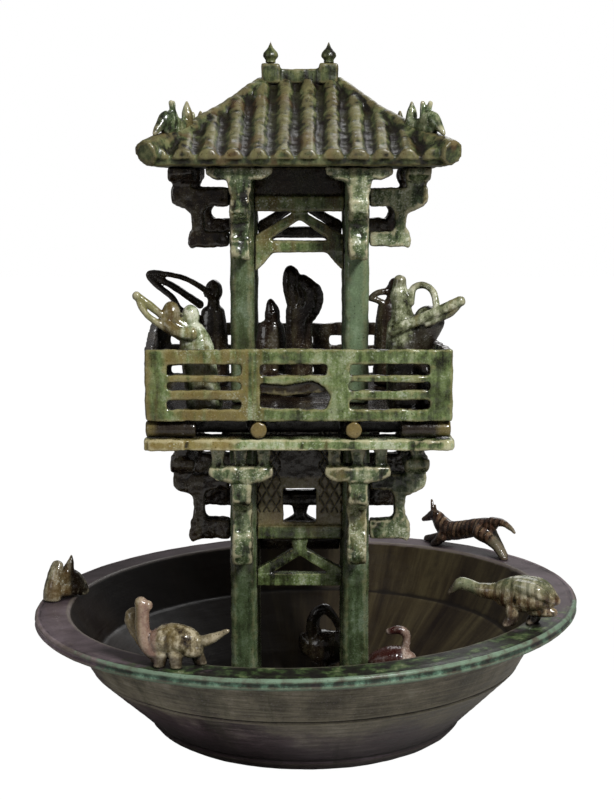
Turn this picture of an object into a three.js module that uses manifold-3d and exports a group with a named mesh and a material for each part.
// A green-glazed earthenware tower standing in a wide basin.
// Four posts carry an open lower storey, a balcony storey with figures stands on it, and a tiled
// hip roof covers both. Animals stand on the rim and in the pond.
// Millimetres, +Z up, the front faces -Y, origin at the middle of the basin's foot.
import * as THREE from 'three';
import { mergeVertices } from 'three/addons/utils/BufferGeometryUtils.js';
import Module from 'manifold-3d';

const wasm = await Module();
wasm.setup();

// Clearance kept between two pieces that touch, and the bite of two parts fused into one piece
const SEAT = 0.3;
const BITE = 0.6;

// Facets of an egg of clay
const LUMP_SIDES = 7;
const LUMP_RINGS = 5;

// Basin
const FOOT_RADIUS = 96;
const KNEE_RADIUS = 124;
const KNEE_HEIGHT = 14;
const SHOULDER_RADIUS = 169;
const SHOULDER_HEIGHT = 58.5;
const LEDGE_LIFT = 5;
const NECK_RADIUS = 189.8;
const RIM_RADIUS = 212.5;
const RIM_HEIGHT = 103.8;
const LIP_DEPTH = 8.5;
const LIP_EDGE = 1.8;
const BASIN_WALL = 8.5;
const BASIN_FLOOR = 9;
const FLOOR_EDGE = 103;
const GROOVE = 1.2;
const RIM_TILT = THREE.MathUtils.degToRad(1.7);
const BASIN_SIDES = 40;

// Tower plan: it stands a little left of the middle of the basin
const TOWER_X = -4.4;
const POST_OFFSET = 42.5;
const LOWER_POST = 20;
const UPPER_POST = 18;
const POST_CHAMFER = 3;
const PANEL_THICK = 7;
const BEAM_DEPTH = 12;
const STRUT_DEPTH = 8;
const STRUT_WIDTH = 5.4;
const APEX_BLOCK = 14;

// Lower wall frames, from the top of the storey down
const LOWER_STOREY = 237.5;
const LOWER_WALL = { panel: 76.2, beam: 10.1, gap: 27.4, chord: 9.4, corbel: 0, apex: 0.72 };
const WINDOW_WIDTH = 25;
const WINDOW_HEIGHT = 26.2;
const WINDOW_SILL = 2.2;

// Upper wall frames, from the eaves down
const UPPER_STOREY = 175;
const UPPER_WALL = { panel: 21.4, beam: 10.9, gap: 21.3, chord: 8.9, corbel: 14, apex: 1 };
// The back of each storey was built this much higher than its front
const BACK_RISE = 8;

// Bracket sets: heights from the top down, for the front and back and for the two sides
const LOWER_BRACKET = { blocks: 14, cross: 11.2, bucket: 2.5, high: 16, gap: 23, low: 21 };
const LOWER_SIDE_BRACKET = { blocks: 14, cross: 11.2, bucket: 2.5, high: 12.3, gap: 23.3, low: 14.8 };
const UPPER_BRACKET = { blocks: 0, cross: 9.2, bucket: 14.2, high: 12.1, gap: 16.7, low: 13 };
const UPPER_SIDE_BRACKET = { blocks: 0, cross: 10, bucket: 5, high: 13.2, gap: 19, low: 11.1 };
const ARM_THICK = 14;
const CROSS_SETBACK = 20.5;
const LOW_ARM_SHORT = 5;
const HIGH_ARM_PAST = 8;
const STEM_WIDTH = 11;
const CROSS_LENGTH = 47;
const CROSS_WIDTH = 18;
const BLOCK_SIDE = 11;

// Plank frame under the balcony
const FRAME_HALF = 108;
const FRAME_WIDTH = 26;
const FRAME_THICK = 8;
const FRAME_OVERHANG = 3;

// Balcony
const BALCONY_HALF = 109.3;
const BALCONY_SKEW = 0.078;
const FLOOR_THICK = 5;
const JOIST_DIAMETER = 12.6;
const JOISTS = [-29, 39];
const CORE_HALF = 80;
const STUB_LENGTH = 36;
const STUB_SETBACK = 9;
const RAIL_HEIGHT = 51.4;
const RAIL_THICK = 6;
const RAIL_END_STILE = 15.7;
const RAIL_BAYS = [52.4, 47.4, 56.7];
const RAIL_STILES = [13.5, 16.3];
const RAIL_BOTTOM = 8.6;
const RAIL_SLOTS = [6.5, 5.8, 7.9];
const RAIL_BARS = [7.1, 4.9];
const SHARD_THICK = 2.6;
const SHARD_HEIGHT = 10;

// Roof
const EAVE_HALF = 105;
const EAVE_THICK = 6.2;
const ROOF_RISE = 57;
const ROOF_SAG = 2.5;
const RIDGE_HALF = 29;
const ROOF_CAVITY = 40;
const CAVITY_HEIGHT = 44;
const TILE_PITCH = 17.4;
const TILE_COUNT = 12;
const TILE_RADIUS = 5.6;
const TILE_STEPS = 3;
const TILE_SHIFT = -2.4;
const TILE_OVERHANG = 2.2;
const HIP_TOP_RADIUS = 4.5;
const HIP_END_RADIUS = 9.3;
const HIP_OVERHANG = 3;
const HIP_PAST = 1.12;
const HIP_SIDES = 9;
const RIDGE_WIDTH = 9;
const RIDGE_HEIGHT = 13.5;
const RIDGE_DIP = 2.5;
const RIDGE_SINK = 1;
const PLINTH_LENGTH = 14;
const PLINTH_WIDTH = 13;
const PLINTH_HEIGHT = 15.5;
const BUD_RADIUS = 6.2;
const BUD_HEIGHT = 16.5;

// Figures: heights, and how far they stand in from the balcony's edges, out from the posts' faces or
// off the tower's axis
const FRONT_LEFT_HEIGHT = 87;
const BACK_LEFT_HEIGHT = 95;
const FRONT_RIGHT_HEIGHT = 98;
const BACK_RIGHT_HEIGHT = 88;
const SEATED_HEIGHT = 74;
const STANDING_HEIGHT = 101;
const FRONT_LEFT_INSET = [41.3, 23.3];
const FRONT_RIGHT_INSET = [29.3, 29.3];
const BACK_LEFT_OUT = [18.5, 6.5];
const BACK_RIGHT_OUT = [20.5, 6.5];
const SEATED_PLACE = [-22, 14];
const STANDING_PLACE = [0, -4];

// Animals: lengths from nose to tail, and where they stand on the rim or in the pond
const HOUND_LENGTH = 109;
const RIM_GOOSE_LENGTH = 85;
const TORTOISE_LENGTH = 75.5;
const BROKEN_BEAST_LENGTH = 39;
const POND_GOOSE_LENGTH = 45;
const DUCK_LENGTH = 43;
const BEAST_LENGTH = 42;
const BEAST_SHARE = 0.76;
const POND_GOOSE_PLACE = [16, 78];
const DUCK_PLACE = [76, 46];
const HOUND_INWARD = 3.7;
const RIM_GOOSE_INWARD = 3;
const TORTOISE_INWARD = 4;
const BROKEN_BEAST_INWARD = 3;

// Levels worked out from the sizes above
const lipBottom = RIM_HEIGHT - LIP_DEPTH;
const wallLean = (NECK_RADIUS - SHOULDER_RADIUS) / (lipBottom - SHOULDER_HEIGHT);
const wallRun = BASIN_WALL * Math.hypot(1, wallLean);
const rimInner = NECK_RADIUS + wallLean * LIP_DEPTH - wallRun;
const rimMiddle = (RIM_RADIUS + rimInner) / 2;
const pondFloor = BASIN_FLOOR;
const rimTop = RIM_HEIGHT;
const lowerBase = pondFloor + SEAT;
const lowerTop = lowerBase + LOWER_STOREY;
const frameBottom = lowerTop - FRAME_THICK;
const joistBase = lowerTop + SEAT;
const floorBottom = joistBase + JOIST_DIAMETER - BITE;
const floorTop = floorBottom + FLOOR_THICK;
const railBottom = joistBase + JOIST_DIAMETER + SEAT;
const railTop = railBottom + RAIL_HEIGHT;
const upperBase = floorTop + SEAT;
const upperTop = upperBase + UPPER_STOREY;
const eaveBottom = upperTop + SEAT;
const eaveTop = eaveBottom + EAVE_THICK;
const ridgeLine = eaveTop + ROOF_RISE;
const ridgeSeat = ridgeLine - RIDGE_SINK;
const budSeat = ridgeSeat + SEAT + PLINTH_HEIGHT + SEAT;
const floorHalf = BALCONY_HALF - RAIL_THICK - SEAT;
const upperPostFace = POST_OFFSET + UPPER_POST / 2;
// The cross arms carry the plank frame, a little in from its edge
const crossCentre = FRAME_HALF - CROSS_SETBACK - POST_OFFSET - LOWER_POST / 2;
const lowArmReach = crossCentre - LOW_ARM_SHORT;
const highArmReach = crossCentre + HIGH_ARM_PAST;

// The four corners of each storey and of the roof
const CORNERS = [['front_left', -1, -1], ['front_right', 1, -1], ['back_right', 1, 1], ['back_left', -1, 1]];

// Glaze colours
const GLAZE = { green: 0x55704a, dark: 0x2f3a2c, grey: 0x756d6c, buff: 0xb29a85, brown: 0x5b4233 };

function glaze(colour) {
  return new THREE.MeshStandardMaterial({ color: colour, roughness: 0.35, metalness: 0 });
}

// A closed geometry as a solid, and a solid as a geometry
function solid(geometry) {
  const bare = geometry.clone();
  bare.deleteAttribute('normal');
  bare.deleteAttribute('uv');
  const merged = mergeVertices(bare, 1e-4);
  const vertProperties = new Float32Array(merged.attributes.position.array);
  const triVerts = new Uint32Array(merged.index.array);
  return new wasm.Manifold(new wasm.Mesh({ numProp: 3, vertProperties, triVerts }));
}

function surface(body) {
  const mesh = body.getMesh();
  const geometry = new THREE.BufferGeometry();
  geometry.setAttribute('position', new THREE.BufferAttribute(new Float32Array(mesh.vertProperties), 3));
  geometry.setIndex(new THREE.BufferAttribute(new Uint32Array(mesh.triVerts), 1));
  return geometry;
}

function join(...pieces) {
  return surface(pieces.map(solid).reduce((whole, body) => whole.add(body)));
}

function cut(geometry, ...tools) {
  return surface(tools.map(solid).reduce((whole, tool) => whole.subtract(tool), solid(geometry)));
}

function within(geometry, region) {
  return surface(solid(geometry).intersect(solid(region)));
}

function piece(name, geometry, colour) {
  geometry.computeVertexNormals();
  const mesh = new THREE.Mesh(geometry, glaze(colour));
  mesh.name = name;
  return mesh;
}

// Move every vertex of a geometry by a rule
function bent(geometry, rule) {
  const position = geometry.attributes.position;
  const vertex = new THREE.Vector3();
  for (let index = 0; index < position.count; index += 1) {
    vertex.fromBufferAttribute(position, index);
    rule(vertex);
    position.setXYZ(index, vertex.x, vertex.y, vertex.z);
  }
  return geometry;
}

// The mirror image of a geometry, with its faces turned out again
function mirrored(geometry, wayX, wayY) {
  const image = geometry.clone();
  image.scale(wayX, wayY, 1);
  if (wayX * wayY < 0) {
    const faces = image.index.array;
    for (let face = 0; face < faces.length; face += 3) {
      [faces[face], faces[face + 1]] = [faces[face + 1], faces[face]];
    }
  }
  return image;
}

// A box between two corners
function box(x0, y0, z0, x1, y1, z1) {
  const geometry = new THREE.BoxGeometry(x1 - x0, y1 - y0, z1 - z0);
  return geometry.translate((x0 + x1) / 2, (y0 + y1) / 2, (z0 + z1) / 2);
}

// An outline in the XZ plane, given depth evenly about y, with any holes cut through it
function slab(outline, depth, y = 0, holes = []) {
  const shape = new THREE.Shape(outline.map(([x, z]) => new THREE.Vector2(x, z)));
  const geometry = new THREE.ExtrudeGeometry(shape, { depth, bevelEnabled: false });
  geometry.rotateX(Math.PI / 2);
  geometry.translate(0, y + depth / 2, 0);
  const tools = holes.map((hole) => slab(hole, depth + 2, y));
  return tools.length > 0 ? cut(geometry, ...tools) : geometry;
}

function rectangle(x0, z0, x1, z1) {
  return [[x0, z0], [x1, z0], [x1, z1], [x0, z1]];
}

// A closed skin over rings that each have the same number of points
function skin(rings, start, end) {
  const sides = rings[0].length;
  const points = [...rings.flat(), start, end];
  const faces = [];
  for (let ring = 0; ring < rings.length - 1; ring += 1) {
    for (let side = 0; side < sides; side += 1) {
      const here = ring * sides + side;
      const next = ring * sides + ((side + 1) % sides);
      faces.push(here, next, next + sides, here, next + sides, here + sides);
    }
  }
  const startIndex = points.length - 2;
  const endIndex = points.length - 1;
  const last = (rings.length - 1) * sides;
  for (let side = 0; side < sides; side += 1) {
    const next = (side + 1) % sides;
    faces.push(startIndex, next, side, endIndex, last + side, last + next);
  }
  const geometry = new THREE.BufferGeometry();
  geometry.setAttribute('position', new THREE.Float32BufferAttribute(points.flatMap((p) => p.toArray()), 3));
  geometry.setIndex(faces);
  return geometry;
}

// A limb of modelled clay: a tube along stations of x, y, z, width and height, with domed ends
function limb(stations, sides = 6, across = null, dome = 0.45) {
  const spine = stations.map(([x, y, z]) => new THREE.Vector3(x, y, z));
  const rings = spine.map((centre, index) => {
    const before = spine[Math.max(index - 1, 0)];
    const after = spine[Math.min(index + 1, spine.length - 1)];
    const forward = after.clone().sub(before).normalize();
    const hint = Math.abs(forward.z) > 0.8 ? new THREE.Vector3(0, 1, 0) : new THREE.Vector3(0, 0, 1);
    const side = across ? across.clone() : new THREE.Vector3().crossVectors(hint, forward);
    side.addScaledVector(forward, -side.dot(forward)).normalize();
    const up = new THREE.Vector3().crossVectors(forward, side);
    const wide = stations[index][3];
    const tall = stations[index][4] ?? wide;
    return Array.from({ length: sides }, (_, count) => {
      const angle = ((count + 0.5) / sides) * 2 * Math.PI;
      return centre.clone()
        .addScaledVector(side, wide * Math.cos(angle))
        .addScaledVector(up, tall * Math.sin(angle));
    });
  });
  const last = stations.length - 1;
  const cap = (index, neighbour) => {
    const outward = spine[index].clone().sub(spine[neighbour]).normalize();
    return spine[index].clone().addScaledVector(outward, stations[index][3] * dome);
  };
  return skin(rings, cap(0, 1), cap(last, last - 1));
}

// An egg of clay about a centre
function lump(x, y, z, rx, ry, rz) {
  const geometry = new THREE.SphereGeometry(1, LUMP_SIDES, LUMP_RINGS);
  geometry.rotateX(Math.PI / 2);
  geometry.scale(rx, ry, rz);
  return geometry.translate(x, y, z);
}

// A stack of rectangles, each with half sizes and a height
function stack(levels) {
  const rings = levels.map(([hx, hy, z]) => [
    new THREE.Vector3(-hx, -hy, z), new THREE.Vector3(hx, -hy, z),
    new THREE.Vector3(hx, hy, z), new THREE.Vector3(-hx, hy, z),
  ]);
  const first = levels[0];
  const last = levels[levels.length - 1];
  return skin(rings, new THREE.Vector3(0, 0, first[2]), new THREE.Vector3(0, 0, last[2]));
}

// The basin stands flat, but its rim climbs towards +X
function tilted(geometry) {
  return bent(geometry, (vertex) => {
    const share = Math.max(0, vertex.z - pondFloor) / (rimTop - pondFloor);
    vertex.z += vertex.x * Math.tan(RIM_TILT) * share;
  });
}

// The balcony's back edge lies to the left of its front edge
function skewed(geometry) {
  return bent(geometry, (vertex) => {
    vertex.x -= BALCONY_SKEW * (vertex.y + BALCONY_HALF);
  });
}

// Basin
function basin() {
  const ledge = SHOULDER_HEIGHT + LEDGE_LIFT;
  const ledgeRadius = SHOULDER_RADIUS + wallLean * LEDGE_LIFT - wallRun;
  const arc = [0.5, 1].map((share) => [
    FOOT_RADIUS + (KNEE_RADIUS - FOOT_RADIUS) * Math.sin((share * Math.PI) / 2),
    KNEE_HEIGHT * (1 - Math.cos((share * Math.PI) / 2)),
  ]);
  const profile = [
    [0, 0], [FOOT_RADIUS, 0], ...arc,
    [SHOULDER_RADIUS, SHOULDER_HEIGHT - GROOVE],
    [SHOULDER_RADIUS - GROOVE, SHOULDER_HEIGHT],
    [SHOULDER_RADIUS + GROOVE, SHOULDER_HEIGHT + GROOVE],
    [NECK_RADIUS, lipBottom],
    [RIM_RADIUS - LIP_EDGE, lipBottom],
    [RIM_RADIUS, lipBottom + LIP_EDGE],
    [RIM_RADIUS - LIP_EDGE / 2, lipBottom + LIP_DEPTH / 2],
    [RIM_RADIUS, rimTop - LIP_EDGE],
    [RIM_RADIUS - LIP_EDGE, rimTop],
    [rimInner + LIP_EDGE, rimTop],
    [rimInner, rimTop - LIP_EDGE],
    [ledgeRadius + GROOVE, ledge + GROOVE],
    [ledgeRadius - GROOVE, ledge],
    [KNEE_RADIUS - BASIN_WALL, KNEE_HEIGHT + BASIN_WALL],
    [FLOOR_EDGE, pondFloor],
    [0, pondFloor],
  ];
  const points = profile.map(([radius, z]) => new THREE.Vector2(radius, z));
  const geometry = new THREE.LatheGeometry(points, BASIN_SIDES);
  geometry.rotateX(Math.PI / 2);
  return tilted(geometry);
}

// Place an animal that was modelled facing +X with its feet at z 0
function stand(animal, x, y, z, heading) {
  animal.rotateZ(THREE.MathUtils.degToRad(heading));
  animal.translate(x, y, z + SEAT);
  return tilted(animal);
}

function onRim(animal, angle, inward, heading) {
  const turn = THREE.MathUtils.degToRad(angle);
  const radius = rimMiddle - inward;
  return stand(animal, radius * Math.cos(turn), radius * Math.sin(turn), rimTop, heading);
}

const SIDEWAYS = new THREE.Vector3(0, 1, 0);

// Cut everything below the feet off, so that an animal or a figure stands flat
function footed(shape) {
  shape.computeBoundingBox();
  const { min, max } = shape.boundingBox;
  return cut(shape, box(min.x - BITE, min.y - BITE, min.z - BITE, max.x + BITE, max.y + BITE, 0));
}

// A drawn shape at its real size: scaled evenly until it measures this much along an axis
function sized(shape, axis, length) {
  shape.computeBoundingBox();
  const scale = length / (shape.boundingBox.max[axis] - shape.boundingBox.min[axis]);
  return shape.scale(scale, scale, scale);
}

// Running hound with its forelegs reaching ahead and its hind legs pushing off
function hound() {
  const trunk = limb([
    [-33, 0, 26, 3, 3.4], [-26, 0, 25, 6, 6.6], [-13, 0, 22, 6.5, 8], [4, 0, 17.5, 6.5, 8.4],
    [19, 0, 15, 7, 8.8], [28, 0, 18, 6.4, 8.6], [34, 0, 23.5, 5.2, 6.6],
  ], 8, SIDEWAYS);
  const skull = limb([
    [33, 0, 24, 5.2, 5.6], [39, 0, 25.5, 4.8, 5], [46, 0, 22.5, 3.3, 3.3], [52, 0, 20, 2.3, 2.1],
  ], 8, SIDEWAYS);
  const tail = limb([
    [-29, 0, 28.5, 4.6], [-41, 0, 29.5, 3.2], [-50, 0, 26.5, 2.4], [-55, 0, 23, 1.3],
  ], 7, SIDEWAYS);
  const ears = [[42, -2.5, 46, -4, 37], [35, 3, 33, 5, 35.5]].map(([x, y, tipX, tipY, tipZ]) => (
    limb([[x, y, 27, 3.2, 2.6], [tipX, tipY, tipZ, 1]], 5)
  ));
  const fore = [[-4, 40, 5, 51], [4.6, 31, 4, 34]].map(([y, x, z, foot]) => (
    limb([[24, y, 10, 5.6], [x, y, z, 4.3], [foot, y, -1, 3.7]], 6)
  ));
  const hind = [[-4.6, -40], [4.6, -48]].map(([y, foot]) => (
    limb([[-20, y, 20, 7.4], [foot * 0.78, y, 11.5, 4.8], [foot, y, -1, 3.8]], 6)
  ));
  return sized(footed(join(trunk, skull, tail, ...ears, ...fore, ...hind)), 'x', HOUND_LENGTH);
}

// Goose that stretches its neck over the pond
function reachingGoose() {
  const trunk = limb([
    [-17, 0, 18, 3, 3], [-10, 0, 20, 7.5, 7], [1, 0, 21, 12, 12.5], [13, 0, 21.5, 12, 12.8],
    [24, 0, 21, 8.5, 9],
  ], 9, SIDEWAYS);
  const neck = limb([
    [20, 0, 21, 7.5], [32, 0, 21.5, 6], [42, 0, 22, 5], [50, 0, 24.5, 4.6],
    [56, 0, 25.5, 4.6], [61, 0, 22, 3], [65.5, 0, 18, 1.5],
  ], 7, SIDEWAYS);
  const wings = [-8, 8].map((y) => (
    limb([[12, y, 28, 4, 5], [-3, y * 1.15, 26, 4.5, 5], [-15, y * 0.7, 19, 2]], 6)
  ));
  const undertail = limb([[2, 0, 11, 5, 4.5], [-8, 0, 10.5, 5.5, 4.4], [-15, 0, 10, 3.4, 3]], 6, SIDEWAYS);
  const legs = [[-6, 1], [6, 15]].map(([y, x]) => (
    limb([[x, y, 12, 5], [x, y, 5, 5], [x + 3, y, -1, 8, 6]], 6)
  ));
  return sized(footed(join(trunk, neck, ...wings, undertail, ...legs)), 'x', RIM_GOOSE_LENGTH);
}

// Tortoise with its neck raised in front of a lobe of its shell, and its tail stretched out
function raisedTortoise() {
  const trunk = limb([
    [-15, 0, 16, 6, 6], [-8, 0, 18.5, 11, 10.5], [4, 0, 18.5, 12, 11.5], [13, 0, 14, 8, 8],
  ], 9, SIDEWAYS);
  const neck = limb([
    [10, 3, 9, 6], [14.5, 3, 12.5, 6], [19.5, 3, 21, 5.6],
    [20.5, 3, 32, 5.2], [20.5, 3, 42, 5.2], [21.5, 3, 47, 3.8],
  ], 8, SIDEWAYS);
  const brow = lump(16.5, 3, 43, 3.6, 3.6, 4);
  const lobe = limb([
    [19, -4, 12, 5.6], [25, -5, 21, 6], [29.5, -5, 31, 6.2], [29, -5, 36, 4.6],
  ], 8, SIDEWAYS);
  const tail = limb([[-9, 0, 16, 6.4, 6], [-22, 0, 18, 5, 4.4], [-38, 0, 26, 1.6]], 7, SIDEWAYS);
  const haunch = lump(-14, 2, 12, 8, 6, 6);
  const legs = [[13, -4], [8, 6], [-4, 7], [-18, -4]].map(([x, y]) => (
    limb([[x * 0.8, y * 0.8, 11, 5.4], [x, y, -1, 4.4]], 6)
  ));
  return sized(footed(join(trunk, neck, brow, lobe, tail, haunch, ...legs)), 'x', TORTOISE_LENGTH);
}

// What is left of a broken beast: a blunt stump fused to a sloping haunch with a sharp ear
function brokenBeast() {
  const stump = limb([
    [-9, 0, -2, 8, 6.5], [-8, 0, 10, 8, 6.5], [-5.5, 0, 20, 7, 5.5], [-3.5, 0, 28, 5.6, 4.2],
  ], 8, SIDEWAYS);
  const back = limb([
    [-4, 0, 17, 7, 8], [6, 0, 15, 7.5, 8], [13, -1, 9, 6.5, 7], [17, -2, 2, 5],
  ], 8, SIDEWAYS);
  const ear = limb([[4, -1, 19, 5.5], [6.5, -2, 27, 3.4], [7.5, -2, 33, 0.9]], 6, SIDEWAYS);
  const base = limb([[-2, 0, 8, 7.5], [9, -1, 7, 7]], 7, SIDEWAYS);
  return sized(footed(join(stump, back, ear, base)), 'x', BROKEN_BEAST_LENGTH);
}

// Goose in the pond with its neck bent over in a small loop
function archedGoose() {
  const trunk = limb([
    [22, 0, 28, 3, 4], [14, 0, 28, 11, 13], [0, 0, 28, 14, 17], [-12, 0, 30, 9, 12], [-20, 0, 38, 3, 4],
  ], 8, SIDEWAYS);
  const neck = limb([
    [-9, 0, 38, 7.5], [-10, 0, 50, 6.4], [-6, 0, 59, 5.6], [1, 0, 62, 5], [8, 0, 56, 4], [14, 0, 46, 3.6],
    [17, 0, 38, 3.4],
  ], 7, SIDEWAYS);
  const legs = [-6, 6].map((y) => limb([[0, y, 16, 5], [2, y, -1, 6]], 5));
  return sized(footed(join(trunk, neck, ...legs)), 'x', POND_GOOSE_LENGTH);
}

// Small duck in the pond with its head turned back over its body
function turnedDuck() {
  const trunk = limb([
    [24, 0, 24, 2, 2], [14, 0, 25, 8, 7], [0, 0, 25, 11, 10.5], [-12, 0, 22, 7, 8],
  ], 8, SIDEWAYS);
  const neck = limb([
    [-7, 0, 24, 5.5], [-9, 0, 34, 3.9], [-9, 0, 43.5, 3.7], [-3, 0, 47.5, 3.5], [6, 0, 46.5, 2.6],
  ], 7, SIDEWAYS);
  const legs = [-5, 5].map((y) => limb([[0, y, 18, 4.4], [0, y, -1, 6]], 6));
  return sized(footed(join(trunk, neck, ...legs)), 'x', DUCK_LENGTH);
}

// Square post with chamfered corners that swells slightly at the foot
function post(side, height, base) {
  const half = side / 2;
  const cut = half - POST_CHAMFER;
  const outline = [
    [-half, -cut], [-cut, -half], [cut, -half], [half, -cut],
    [half, cut], [cut, half], [-cut, half], [-half, cut],
  ];
  const ring = (z) => outline.map(([x, y]) => new THREE.Vector3(x, y, z));
  const bottom = base;
  const top = base + height;
  return skin([ring(bottom), ring(top)], new THREE.Vector3(0, 0, bottom), new THREE.Vector3(0, 0, top));
}

// Inverted V strut that carries a beam on a chord
function struts(span, bottom, top) {
  const foot = span / 2;
  const rise = top - bottom;
  const lean = STRUT_WIDTH * Math.hypot(1, foot / rise);
  const leg = (way) => slab([
    [way * foot, bottom - BITE], [way * (foot - lean * 0.9), bottom - BITE],
    [-way * BITE, top - STRUT_WIDTH], [-way * BITE, top], [way * STRUT_WIDTH * 0.6, top],
    [way * foot, bottom + STRUT_WIDTH * 0.7],
  ], STRUT_DEPTH);
  return join(leg(1), leg(-1));
}

// Wall frame between two posts: panel, beam, struts, chord and corbels
function wallFrame(sizes, postSide, top, rise, windowed) {
  const half = POST_OFFSET - postSide / 2 - SEAT;
  const beamTop = top - sizes.panel + rise;
  const beamBottom = beamTop - sizes.beam;
  const chordTop = beamBottom - sizes.gap;
  const chordBottom = chordTop - sizes.chord;
  const apex = chordTop + sizes.gap * sizes.apex;
  const sill = beamTop + WINDOW_SILL;
  const head = top - sizes.panel + WINDOW_SILL + WINDOW_HEIGHT;
  const window = rectangle(-WINDOW_WIDTH / 2, sill, WINDOW_WIDTH / 2, head);
  const panel = slab(rectangle(-half, beamTop - BITE, half, top), PANEL_THICK, 0, windowed ? [window] : []);
  const beam = slab(rectangle(-half, beamBottom, half, beamTop), BEAM_DEPTH);
  const chord = slab(rectangle(-half, chordBottom, half, chordTop), BEAM_DEPTH - 2);
  const parts = [panel, beam, chord, struts(2 * half, chordTop, Math.min(apex, beamBottom + BITE))];
  if (sizes.apex < 1) {
    parts.push(slab([
      [APEX_BLOCK / 2, beamBottom + BITE], [APEX_BLOCK / 3, apex - BITE * 2],
      [-APEX_BLOCK / 3, apex - BITE * 2], [-APEX_BLOCK / 2, beamBottom + BITE],
    ], STRUT_DEPTH));
  }
  if (sizes.corbel > 0) {
    for (const way of [-1, 1]) {
      const edge = way * half;
      const inner = way * (half - sizes.corbel);
      const middle = way * (half - sizes.corbel * 0.45);
      const corbel = slab([
        [edge, chordBottom + BITE], [inner, chordBottom + BITE], [middle, chordBottom - sizes.corbel * 0.6],
        [edge, chordBottom - sizes.corbel],
      ], STRUT_DEPTH);
      parts.push(corbel);
    }
  }
  return join(...parts);
}

// Bracket set that stands out from a post face: low arm, stem, high arm, bucket, cross arm and blocks
function bracket(sizes, top, rise) {
  const crossTop = top - sizes.blocks;
  const crossBottom = crossTop - sizes.cross;
  const highTop = crossBottom - sizes.bucket;
  const highBottom = highTop - sizes.high;
  const lowTop = highBottom - sizes.gap + rise;
  const lowBottom = lowTop - sizes.low;
  const stemOut = lowArmReach - 1;
  const stemIn = stemOut - STEM_WIDTH;
  const nose = sizes.low * 0.3;
  const reach = highArmReach;
  // u runs out from the post face
  const side = [
    [SEAT, lowBottom], [lowArmReach - nose, lowBottom],
    [lowArmReach - nose * 0.3, lowBottom - nose * 0.5],
    [lowArmReach + nose * 0.4, lowBottom + nose * 0.6], [lowArmReach, lowTop],
    [stemOut - 1.5, lowTop + 2], [stemOut - 1.5, highBottom - 5],
    [reach - 4, highBottom], [reach, highBottom + 3], [reach, highTop], [SEAT, highTop],
    [SEAT, highBottom], [stemIn - 2, highBottom], [stemIn + 1, highBottom - 4], [stemIn + 1, lowTop + 4],
    [stemIn - 1, lowTop], [SEAT, lowTop],
  ];
  const arms = slab(side, ARM_THICK).rotateZ(-Math.PI / 2);
  const halfCross = CROSS_LENGTH / 2;
  const lift = sizes.cross * 0.45;
  const boat = [
    [-halfCross, crossBottom + lift], [-halfCross * 0.7, crossBottom], [halfCross * 0.7, crossBottom],
    [halfCross, crossBottom + lift], [halfCross, crossTop], [-halfCross, crossTop],
  ];
  const cross = slab(boat, CROSS_WIDTH, -crossCentre);
  const bucketTop = crossBottom + BITE;
  const bucketBottom = highTop - BITE;
  const bucket = stack([
    [ARM_THICK * 0.42, ARM_THICK * 0.42, bucketBottom], [ARM_THICK * 0.65, ARM_THICK * 0.6, bucketTop],
  ]).translate(0, -crossCentre, 0);
  const parts = [arms, cross, bucket];
  if (sizes.blocks > 0) {
    for (const x of [-1, 0, 1]) {
      const centre = x * (halfCross - BLOCK_SIDE / 2 - 1);
      const block = stack([
        [BLOCK_SIDE * 0.36, BLOCK_SIDE * 0.4, crossTop - BITE], [BLOCK_SIDE * 0.5, BLOCK_SIDE * 0.55, top],
      ]).translate(centre, -crossCentre, 0);
      parts.push(block);
    }
  }
  return join(...parts);
}

// Planks crossed at the corners, under the balcony
function plankFrame() {
  const inner = FRAME_HALF - FRAME_WIDTH;
  const out = FRAME_HALF + FRAME_OVERHANG;
  const planks = [];
  for (const way of [-1, 1]) {
    const near = Math.min(way * inner, way * FRAME_HALF);
    const far = Math.max(way * inner, way * FRAME_HALF);
    planks.push(box(-out, near, frameBottom, out, far, lowerTop));
    planks.push(box(near, -out, frameBottom, far, out, lowerTop));
  }
  return join(...planks);
}

// Balcony floor on a thick core and two round joists, with a short stub at each corner
function balconyFloor() {
  const radius = JOIST_DIAMETER / 2;
  const height = joistBase + radius;
  const slabPiece = box(-floorHalf, -floorHalf, floorBottom, floorHalf, floorHalf, floorTop);
  const core = box(-CORE_HALF, -CORE_HALF, joistBase, CORE_HALF, CORE_HALF, floorBottom + BITE);
  const rod = (length) => new THREE.CylinderGeometry(radius, radius, length, 10);
  const joists = JOISTS.map((x) => rod(2 * BALCONY_HALF).translate(x, 0, height));
  const stubs = [];
  for (const wayX of [-1, 1]) {
    for (const wayY of [-1, 1]) {
      const stubX = wayX * (BALCONY_HALF - STUB_LENGTH / 2);
      const stubY = wayY * (BALCONY_HALF - STUB_SETBACK);
      stubs.push(rod(STUB_LENGTH).rotateZ(Math.PI / 2).translate(stubX, stubY, height));
    }
  }
  return skewed(join(slabPiece, core, ...joists, ...stubs));
}

// What is left of the broken bay: a thin slab at the back of the railing
function shard(left, right) {
  const top = railBottom + RAIL_BOTTOM + RAIL_SLOTS[0] + RAIL_BARS[0] + RAIL_SLOTS[1] + BITE;
  const bottom = top - SHARD_HEIGHT;
  const outline = [
    [left - BITE, bottom + 1], [left + (right - left) * 0.4, bottom - 1], [right + BITE * 4, bottom + 2],
    [right + BITE * 4, top], [left - BITE, top],
  ];
  return slab(outline, SHARD_THICK, (RAIL_THICK - SHARD_THICK) / 2);
}

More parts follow.
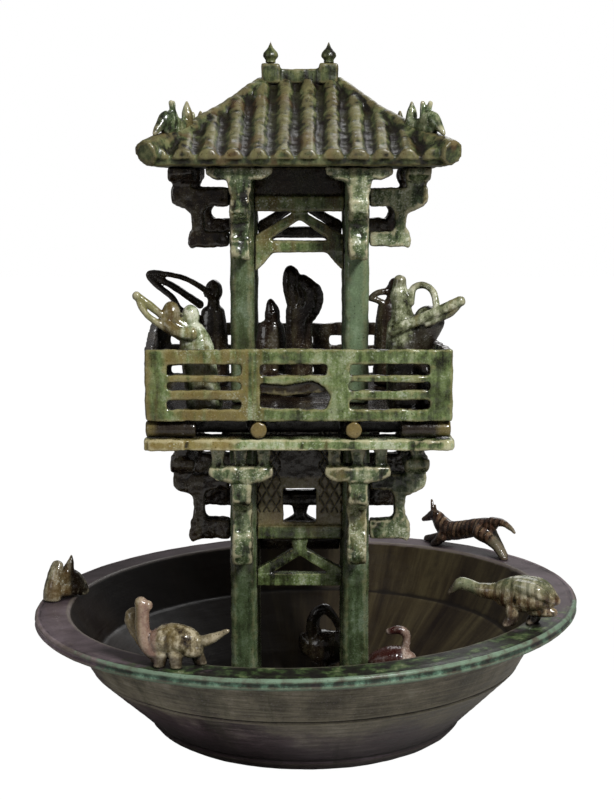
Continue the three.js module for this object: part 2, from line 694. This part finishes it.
// Railing with three bays of slots; the middle bay of the front one is broken out
function railing(half, broken) {
  const scale = half / BALCONY_HALF;
  const spoiltLeft = -BALCONY_HALF + RAIL_END_STILE + RAIL_BAYS[0] + RAIL_STILES[0];
  const holes = [];
  let left = -BALCONY_HALF + RAIL_END_STILE;
  RAIL_BAYS.forEach((width, bay) => {
    let bottom = railBottom + RAIL_BOTTOM;
    RAIL_SLOTS.forEach((height, slot) => {
      const spoilt = broken && bay === 1 && slot < 2;
      if (!spoilt) {
        holes.push(rectangle(left * scale, bottom, (left + width) * scale, bottom + height));
      }
      bottom += height + (RAIL_BARS[slot] ?? 0);
    });
    if (broken && bay === 1) {
      const low = railBottom + RAIL_BOTTOM;
      const high = low + RAIL_SLOTS[0] + RAIL_BARS[0] + RAIL_SLOTS[1];
      holes.push([
        [left, low + 1], [left + width, low], [left + width * 1.06, low + 9],
        [left + width * 0.98, high - 4],
        [left + width * 0.8, high + 1], [left + width * 0.35, high - 2], [left, high - 1],
      ]);
    }
    left += width + (RAIL_STILES[bay] ?? 0);
  });
  const outline = rectangle(-half, railBottom, half, railTop);
  const pierced = slab(outline, RAIL_THICK, 0, holes);
  return broken ? join(pierced, shard(spoiltLeft, spoiltLeft + RAIL_BAYS[1])) : pierced;
}

// The front and back railings lie across the ends of the two side ones
function railings() {
  const centre = BALCONY_HALF - RAIL_THICK / 2;
  const shortHalf = BALCONY_HALF - RAIL_THICK - SEAT;
  return [
    ['front', railing(BALCONY_HALF, true), 0], ['right', railing(shortHalf, false), 90],
    ['back', railing(BALCONY_HALF, false), 180], ['left', railing(shortHalf, false), 270],
  ].map(([name, body, turn]) => {
    const placed = skewed(body.translate(0, -centre, 0).rotateZ(THREE.MathUtils.degToRad(turn)));
    return piece(`balcony_railing_${name}`, placed, GLAZE.green);
  });
}

// Figures on the balcony: robes, heads and bows as limbs of clay, drawn about their feet
function head(x, y, z, radius) {
  return lump(x, y, z, radius * 0.88, radius * 0.92, radius * 1.08);
}

function robe(width, waist, shoulder, top, lean = 0) {
  return limb([
    [0, 0, -2, width, width * 0.85], [lean * 0.3, 0, top * 0.4, width * 0.95, width * 0.8],
    [lean * 0.6, 0, top * 0.7, waist, waist * 0.8], [lean, 0, top - 3, shoulder, shoulder * 0.75],
  ], 7);
}

function raised(height, ...parts) {
  return sized(footed(join(...parts)), 'z', height);
}

// Stand a figure at a corner of the balcony, in from its two edges
function atCorner(figure, wayX, wayY, inset) {
  return figure.translate(wayX * (BALCONY_HALF - inset[0]), wayY * (BALCONY_HALF - inset[1]), upperBase);
}

// Stand a figure outside a post, out from its two faces
function byPost(figure, wayX, wayY, out) {
  return figure.translate(wayX * (upperPostFace + out[0]), wayY * (upperPostFace + out[1]), upperBase);
}

function inTower(figure, place) {
  return figure.translate(place[0], place[1], upperBase);
}

// Archer who leans over a crossbow with a forked end
function frontLeftArcher() {
  const body = robe(14, 13, 9.5, 64, -9);
  const shoulder = lump(-10, 2, 68, 7, 7, 9);
  const skull = head(-24, -2, 71, 8);
  const neck = limb([[-14, 0, 60, 6], [-22, -2, 66, 5]], 6);
  const upper = limb([
    [-49, -9, 84, 3.2], [-42, -8, 79, 3], [-32, -6, 71, 3], [-22, -5, 62, 3.2], [-12, -4, 55, 4],
  ], 6, SIDEWAYS);
  const lower = limb([
    [-47, -9, 83, 2.6], [-46, -10, 77, 2.6], [-40, -10, 69, 2.8], [-30, -7, 62, 3], [-16, -4, 54, 3.6],
  ], 6, SIDEWAYS);
  return raised(FRONT_LEFT_HEIGHT, body, shoulder, skull, neck, upper, lower);
}

// Archer whose bow fans out in three strands
function backLeftArcher() {
  const body = robe(14, 12, 10, 66);
  const skull = head(1, -2, 78, 8.5);
  const neck = limb([[0, -1, 60, 6], [1, -2, 72, 5]], 6);
  const bow = limb([
    [-2, -8, 77, 2.6], [-20, -13, 88, 2.3], [-37, -16, 92.5, 2.3],
    [-51, -16, 92.5, 3], [-45.5, -16, 84, 2.6],
    [-33, -15, 74, 2.6], [-26, -12, 63, 3], [-12, -6, 55, 4],
  ], 6, SIDEWAYS);
  const stock = limb([[-49, -16, 92, 2.6], [-31, -13, 82, 3.2], [-10, -6, 67, 3.4]], 6);
  return raised(BACK_LEFT_HEIGHT, body, skull, neck, bow, stock);
}

// Archer with a small cap who holds a crossbow out level
function frontRightArcher() {
  const body = robe(16, 14, 11, 66, -5);
  const neck = limb([[-4, 0, 58, 10, 8], [-6, 0, 74, 7]], 7);
  const skull = head(-7, 0, 80, 8);
  const cap = limb([[-7, 0, 84, 5.4], [-7, 0, 94, 4.6]], 7);
  const haunch = limb([[6, 2, 46, 11], [15, 2, 63, 11.5]], 8);
  const arm = limb([
    [0, -2, 76, 4], [3, -3, 86, 2.6], [11, -4, 88, 2.5], [17, -8, 83, 2.5], [19, -11, 72, 3],
  ], 6, SIDEWAYS);
  const stock = limb([[-13, -8, 56, 4], [12, -12, 67, 4.2], [36, -16, 78, 3.6]], 7);
  const bow = limb([[35, -15, 76, 2.4], [28, -13, 68, 2.2], [12, -10, 62, 3]], 6);
  return raised(FRONT_RIGHT_HEIGHT, body, neck, skull, cap, haunch, arm, stock, bow);
}

// Archer at the back who spreads two arms to the left
function backRightArcher() {
  const body = robe(13, 11, 9, 70);
  const skull = head(6, -1, 80, 7.4);
  const neck = limb([[1, 0, 64, 6], [5, -1, 75, 5]], 6);
  const arms = [77, 66].map((z) => (
    limb([[-2, -2, z, 3.2], [-10, -3, z * 0.5 + 37, 2.6], [-16, -3, 71, 2.2]], 6)
  ));
  return raised(BACK_RIGHT_HEIGHT, body, skull, neck, ...arms);
}

function seatedFigure() {
  const body = robe(14, 13, 11, 56);
  const skull = limb([[1, 0, 52, 6], [1, 0, 62, 6.4, 6], [0, 0, 69, 4], [0, 0, 73, 2]], 8);
  const knees = lump(0, -10, 9.5, 13, 9, 9);
  return raised(SEATED_HEIGHT, body, skull, knees);
}

function standingFigure() {
  const body = robe(12, 11, 11, 72);
  const skull = limb([[-3, 0, 68, 6], [-6, 0, 82, 7], [-6, 0, 92, 7.4], [-7, 0, 99, 4]], 9);
  const sleeve = limb([[2, 0, 60, 9], [9, 0, 72, 10.5, 9], [9, 0, 80, 10, 9], [2, 0, 88, 7]], 9);
  return raised(STANDING_HEIGHT, body, skull, sleeve);
}

// Roof: where the surface lies between the ridge (0) and the eave (1)
function slope(share) {
  const linear = ridgeLine - ROOF_RISE * share;
  return linear - ROOF_SAG * Math.sin(Math.PI * share);
}

// Roll of clay over the back right hip, thicker towards its cut end, which hangs past the eave
function hipRoll(extra) {
  const end = 1 + HIP_OVERHANG / EAVE_HALF;
  const stations = [0, 0.35, 0.7, end].map((share) => {
    const x = RIDGE_HALF + (EAVE_HALF - RIDGE_HALF) * share;
    const y = EAVE_HALF * share;
    const radius = HIP_TOP_RADIUS + (HIP_END_RADIUS - HIP_TOP_RADIUS) * share ** 2;
    return [x, y, slope(Math.min(share, 1)) + radius * 0.25, radius + extra];
  });
  return limb(stations, HIP_SIDES, null, 0);
}

// One face of the roof: rolled tiles over a wedge of clay that runs from start out to the eave
function tiledFace(start, boundary) {
  const halfWidth = EAVE_HALF + TILE_OVERHANG;
  const outline = [[-halfWidth, -1], [halfWidth, -1], [halfWidth, 0]];
  for (let index = TILE_COUNT - 1; index >= 0; index -= 1) {
    const centre = (index - (TILE_COUNT - 1) / 2) * TILE_PITCH + TILE_SHIFT;
    for (let step = 0; step <= TILE_STEPS; step += 1) {
      const turn = (step / TILE_STEPS) * Math.PI;
      outline.push([centre + TILE_RADIUS * Math.cos(turn), TILE_RADIUS * Math.sin(turn)]);
    }
  }
  outline.push([-halfWidth, 0]);
  const shape = new THREE.Shape(outline.map(([x, z]) => new THREE.Vector2(x, z)));
  const geometry = new THREE.ExtrudeGeometry(shape, { depth: 1, steps: 2, bevelEnabled: false });
  bent(geometry, (vertex) => {
    const share = vertex.z;
    const below = vertex.y < -BITE;
    const out = start + (EAVE_HALF - start) * share + (below ? 0 : TILE_OVERHANG * share);
    vertex.set(vertex.x, -out, below ? eaveBottom : slope(share) + vertex.y);
  });
  return within(geometry, facePrism(boundary));
}

function facePrism(points) {
  const shape = new THREE.Shape(points.map(([x, y]) => new THREE.Vector2(x, y)));
  const geometry = new THREE.ExtrudeGeometry(shape, { depth: ROOF_RISE * 2, bevelEnabled: false });
  return geometry.translate(0, 0, eaveBottom - EAVE_THICK);
}

function roof() {
  const farX = RIDGE_HALF + (EAVE_HALF - RIDGE_HALF) * HIP_PAST + BITE;
  const farY = EAVE_HALF * HIP_PAST;
  const front = tiledFace(-BITE * 2, [
    [-farX, -farY], [farX, -farY], [RIDGE_HALF + BITE, BITE], [-RIDGE_HALF - BITE, BITE],
  ]);
  const back = front.clone().rotateZ(Math.PI);
  const right = tiledFace(RIDGE_HALF - BITE * 2, [
    [-farY - BITE, -farX], [farY + BITE, -farX], [BITE, BITE - RIDGE_HALF], [-BITE, BITE - RIDGE_HALF],
  ]).rotateZ(Math.PI / 2);
  const left = right.clone().rotateZ(Math.PI);
  const hips = CORNERS.map(([, wayX, wayY]) => mirrored(hipRoll(0), wayX, wayY));
  const cavity = stack([
    [ROOF_CAVITY, ROOF_CAVITY, eaveBottom - EAVE_THICK], [ROOF_CAVITY, ROOF_CAVITY, eaveBottom],
    [ROOF_CAVITY * 0.55, ROOF_CAVITY * 0.2, eaveBottom + CAVITY_HEIGHT],
  ]);
  const halfSeat = PLINTH_WIDTH / 2 + SEAT;
  const reach = RIDGE_HALF + SEAT;
  const seat = box(-reach, -halfSeat, ridgeSeat, reach, halfSeat, ridgeSeat + ROOF_RISE);
  return cut(join(front, back, right, left, ...hips), cavity, seat);
}

// Ridge with a block at each end
function ridge() {
  const base = ridgeSeat + SEAT;
  const top = base + RIDGE_HEIGHT;
  const steps = [-1, -0.5, 0, 0.5, 1];
  const crest = steps.map((share) => [share * RIDGE_HALF, top - RIDGE_DIP * (1 - share * share)]);
  const wall = slab([[-RIDGE_HALF, base], [RIDGE_HALF, base], ...crest.reverse()], RIDGE_WIDTH);
  const plinths = [-1, 1].map((way) => {
    const inner = way * (RIDGE_HALF - PLINTH_LENGTH);
    const outer = way * RIDGE_HALF;
    const [near, far] = [Math.min(inner, outer), Math.max(inner, outer)];
    return box(near, -PLINTH_WIDTH / 2, base, far, PLINTH_WIDTH / 2, base + PLINTH_HEIGHT);
  });
  return join(wall, ...plinths);
}

// Pointed bud on a ridge block
function ridgeBud() {
  const profile = [
    [0, 0], [BUD_RADIUS * 0.72, 0], [BUD_RADIUS * 0.6, BUD_HEIGHT * 0.12], [BUD_RADIUS, BUD_HEIGHT * 0.3],
    [BUD_RADIUS * 0.9, BUD_HEIGHT * 0.45], [BUD_RADIUS * 0.32, BUD_HEIGHT * 0.7], [0, BUD_HEIGHT],
  ];
  const geometry = new THREE.LatheGeometry(profile.map(([r, z]) => new THREE.Vector2(r, z)), 10);
  return geometry.rotateX(Math.PI / 2);
}

// Beaked beast that sits astride a hip, modelled over the back right hip and then mirrored
function hipBeast() {
  const run = EAVE_HALF - RIDGE_HALF;
  const trunk = limb([[-9, 0, 6, 4, 5], [2, 0, 4, 4.5, 6], [12, 0, 3, 4, 4]], 6);
  const skull = limb([[2, 0, 8, 4.5], [11, 0, 10, 5], [19, 0, 4, 3], [25, 0, -3, 1]], 6);
  const crests = [-2.5, 2.5].map((way) => limb([[3, 0, 9, 3], [5 + way, 0, 20, 2.2]], 5));
  const bud = limb([[-12, 0, 4, 4], [-11, 0, 12, 4.4], [-11, 0, 22, 0.8]], 5);
  const beast = sized(join(trunk, skull, ...crests, bud), 'x', BEAST_LENGTH);
  beast.rotateZ(Math.atan2(EAVE_HALF, run));
  const height = slope(BEAST_SHARE) + HIP_TOP_RADIUS + 1;
  beast.translate(RIDGE_HALF + run * BEAST_SHARE, EAVE_HALF * BEAST_SHARE, height);
  return cut(beast, hipRoll(SEAT));
}

// Put the object together
const object = new THREE.Group();

const basinGroup = new THREE.Group();
basinGroup.add(
  piece('basin', basin(), GLAZE.grey),
  piece('rim_hound', onRim(hound(), 43.6, HOUND_INWARD, 131.7), GLAZE.brown),
  piece('rim_goose', onRim(reachingGoose(), -31.5, RIM_GOOSE_INWARD, 156), GLAZE.buff),
  piece('rim_tortoise', onRim(raisedTortoise(), -117.6, TORTOISE_INWARD, 168), GLAZE.buff),
  piece('rim_broken_beast', onRim(brokenBeast(), 176.5, BROKEN_BEAST_INWARD, 40), GLAZE.green),
  piece('pond_goose', stand(archedGoose(), ...POND_GOOSE_PLACE, pondFloor, 0), GLAZE.dark),
  piece('pond_duck', stand(turnedDuck(), ...DUCK_PLACE, pondFloor, 180), GLAZE.buff),
);
object.add(basinGroup);

const tower = new THREE.Group();
tower.position.x = TOWER_X;
object.add(tower);

// Each side of the tower is the front one turned about Z; a bracket pair stands out of its two posts
const SIDES = [
  ['front', 0, ['left', 'right'], false], ['right', 90, ['front', 'back'], true],
  ['back', 180, ['right', 'left'], false], ['left', 270, ['back', 'front'], true],
];

function addStorey(name, postSide, base, height, wall, brackets, windowed, bracketTop) {
  for (const [corner, wayX, wayY] of CORNERS) {
    const mesh = piece(`${name}_post_${corner}`, post(postSide, height, base), GLAZE.green);
    mesh.position.set(wayX * POST_OFFSET, wayY * POST_OFFSET, 0);
    tower.add(mesh);
  }
  for (const [side, turn, ends, lateral] of SIDES) {
    const rise = side === 'back' ? BACK_RISE : 0;
    const panel = wallFrame(wall, postSide, base + height, rise, windowed);
    const frame = piece(`${name}_wall_${side}`, panel, GLAZE.green);
    frame.rotation.z = THREE.MathUtils.degToRad(turn);
    frame.position.set(0, -POST_OFFSET, 0).applyAxisAngle(new THREE.Vector3(0, 0, 1), frame.rotation.z);
    tower.add(frame);
    ends.forEach((end, index) => {
      const behind = side === 'back' || end === 'back';
      const arms = bracket(lateral ? brackets.side : brackets.front, bracketTop, behind ? BACK_RISE : 0);
      const set = piece(`${name}_bracket_${side}_${end}`, arms, GLAZE.green);
      set.rotation.z = frame.rotation.z;
      const along = (index === 0 ? -1 : 1) * POST_OFFSET;
      set.position.set(along, -(POST_OFFSET + postSide / 2), 0)
        .applyAxisAngle(new THREE.Vector3(0, 0, 1), frame.rotation.z);
      tower.add(set);
    });
  }
}

addStorey(
  'lower', LOWER_POST, lowerBase, LOWER_STOREY, LOWER_WALL,
  { front: LOWER_BRACKET, side: LOWER_SIDE_BRACKET }, true, frameBottom - SEAT,
);
tower.add(piece('balcony_plank_frame', plankFrame(), GLAZE.green));
tower.add(piece('balcony_floor', balconyFloor(), GLAZE.dark));
tower.add(...railings());
addStorey(
  'upper', UPPER_POST, upperBase, UPPER_STOREY, UPPER_WALL,
  { front: UPPER_BRACKET, side: UPPER_SIDE_BRACKET }, false, upperTop,
);
tower.add(
  piece('archer_front_left', atCorner(frontLeftArcher(), -1, -1, FRONT_LEFT_INSET), GLAZE.green),
  piece('archer_back_left', byPost(backLeftArcher(), -1, 1, BACK_LEFT_OUT), GLAZE.dark),
  piece('archer_front_right', atCorner(frontRightArcher(), 1, -1, FRONT_RIGHT_INSET), GLAZE.buff),
  piece('archer_back_right', byPost(backRightArcher(), 1, 1, BACK_RIGHT_OUT), GLAZE.dark),
  piece('figure_seated', inTower(seatedFigure(), SEATED_PLACE), GLAZE.dark),
  piece('figure_standing', inTower(standingFigure(), STANDING_PLACE), GLAZE.dark),
  piece('roof_tiled', roof(), GLAZE.green),
  piece('roof_ridge', ridge(), GLAZE.green),
);
for (const [side, way] of [['left', -1], ['right', 1]]) {
  const bud = piece(`ridge_bud_${side}`, ridgeBud(), GLAZE.dark);
  bud.position.set(way * (RIDGE_HALF - PLINTH_LENGTH / 2), 0, budSeat);
  tower.add(bud);
}
const beast = hipBeast();
for (const [corner, wayX, wayY] of CORNERS) {
  tower.add(piece(`hip_beast_${corner}`, mirrored(beast, wayX, wayY), GLAZE.green));
}

export default object;
